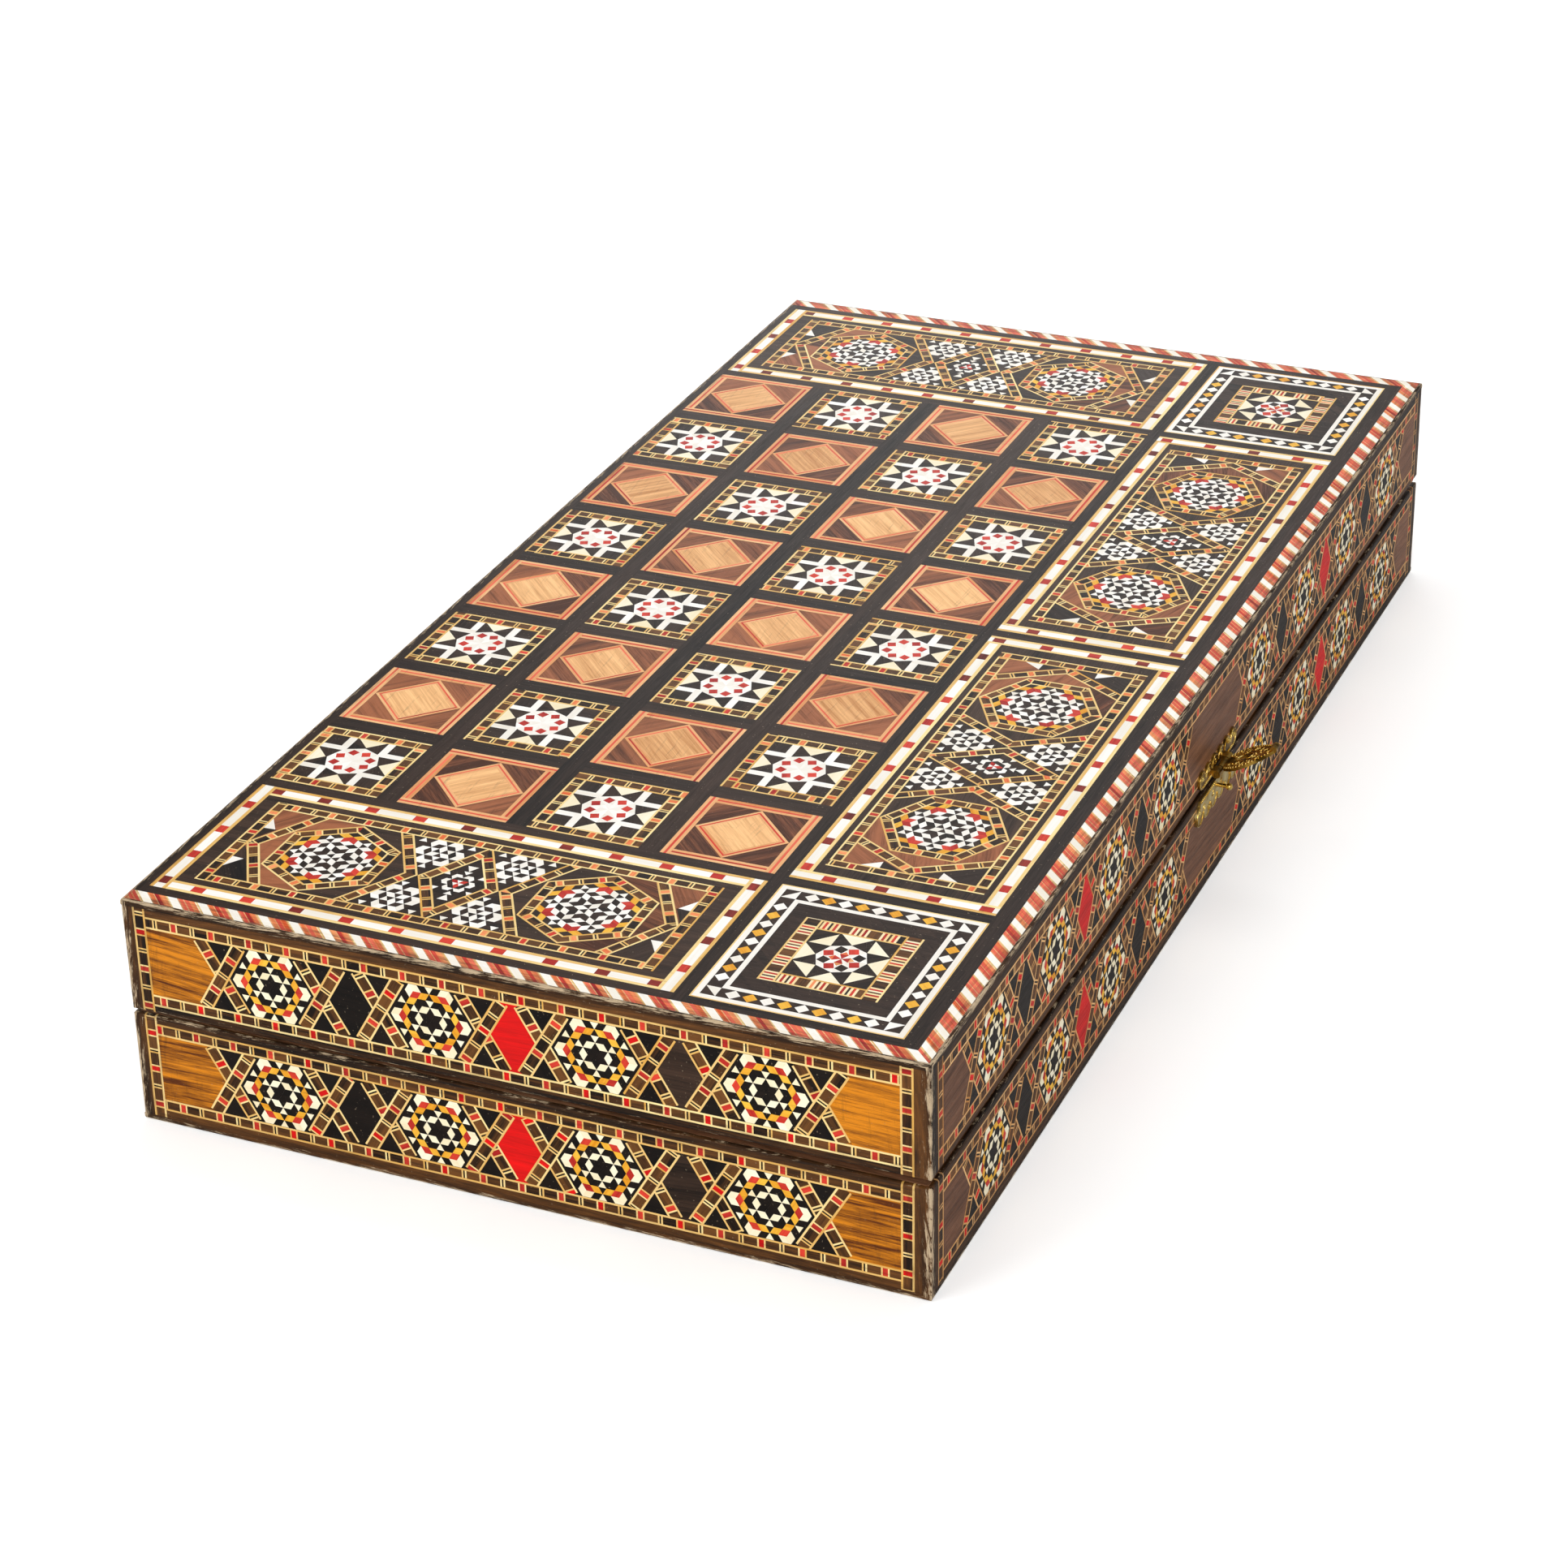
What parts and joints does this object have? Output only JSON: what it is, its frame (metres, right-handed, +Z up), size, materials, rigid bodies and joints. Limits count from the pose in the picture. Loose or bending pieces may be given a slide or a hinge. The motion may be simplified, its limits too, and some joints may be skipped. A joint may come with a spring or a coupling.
{
  "type": "folding chess set",
  "caption": "Folding inlaid wooden chess box: two hinged trays carry the board outside and backgammon points inside, with a brass clasp and turned chessmen.",
  "frame": {"origin": "middle of the underside, on the surface that the shut box rests on", "axes": "+X towards the clasp side, +Y along the long side away from the front, +Z up"},
  "size_m": [0.2188, 0.4, 0.0613],
  "materials": {
    "core_wood": "oiled",
    "ebony_ground": "lacquered",
    "star_marquetry": "lacquered inlay of bone, ebony and dyed wood",
    "diamond_marquetry": "lacquered inlay of walnut and olive wood",
    "border_marquetry": "lacquered inlay of walnut, lemonwood and bone",
    "rhombus_mosaic": "lacquered mosaic of bone, ebony and dyed wood",
    "corner_marquetry": "lacquered inlay of bone, ebony and amber wood",
    "rope_banding": "lacquered slanted banding",
    "side_marquetry": "lacquered inlay, darker with age",
    "floor_veneer": "satin lacquer",
    "point_inlay": "satin lacquer",
    "brass": "stamped and polished",
    "boxwood": "waxed",
    "ebonised_wood": "waxed"
  },
  "bodies": {
    "base": {"base_front_wall": "core_wood", "base_back_wall": "core_wood", "base_hinge_wall": "core_wood", "base_clasp_wall": "core_wood", "base_panel": "core_wood", "base_ground": "ebony_ground", "base_star_squares": "star_marquetry", "base_diamond_squares": "diamond_marquetry", "base_border_panels": "border_marquetry", "base_border_medallions": "rhombus_mosaic", "base_corner_panels": "corner_marquetry", "base_edge_banding": "rope_banding", "base_short_sides": "side_marquetry", "base_long_sides": "side_marquetry", "base_side_medallions": "rhombus_mosaic", "base_floor": "floor_veneer", "base_points": "point_inlay", "base_hinge_leaves": "brass", "base_hinge_screws": "brass", "hinge_pins": "brass", "strike_plate": "brass", "ball_post": "brass", "strike_plate_nails": "brass", "white_king": "boxwood", "white_queen": "boxwood", "white_bishops": "boxwood", "white_knights": "boxwood", "white_rooks": "boxwood", "white_pawns": "boxwood", "black_king": "ebonised_wood", "black_queen": "ebonised_wood", "black_bishops": "ebonised_wood", "black_knights": "ebonised_wood", "black_rooks": "ebonised_wood", "black_pawns": "ebonised_wood"},
    "lid": {"lid_front_wall": "core_wood", "lid_back_wall": "core_wood", "lid_hinge_wall": "core_wood", "lid_clasp_wall": "core_wood", "lid_panel": "core_wood", "lid_ground": "ebony_ground", "lid_star_squares": "star_marquetry", "lid_diamond_squares": "diamond_marquetry", "lid_border_panels": "border_marquetry", "lid_border_medallions": "rhombus_mosaic", "lid_corner_panels": "corner_marquetry", "lid_edge_banding": "rope_banding", "lid_short_sides": "side_marquetry", "lid_long_sides": "side_marquetry", "lid_side_medallions": "rhombus_mosaic", "lid_floor": "floor_veneer", "lid_points": "point_inlay", "lid_hinge_leaves": "brass", "lid_hinge_screws": "brass", "clasp_plate": "brass", "clasp_pin": "brass", "clasp_plate_nails": "brass"},
    "hasp": {"hasp": "brass"}
  },
  "joints": [
    {"name": "lid_hinge", "type": "hinge", "parent": "base", "child": "lid", "pos_m": [-0.1003, 0, 0.03005], "axis": [0, -1, 0], "range_deg": [-0.35, 179.65]},
    {"name": "hasp_hinge", "type": "hinge", "parent": "lid", "child": "hasp", "pos_m": [0.10183, 0.002, 0.03313], "axis": [0, 1, 0], "range_deg": [-60, 117]}
  ]
}
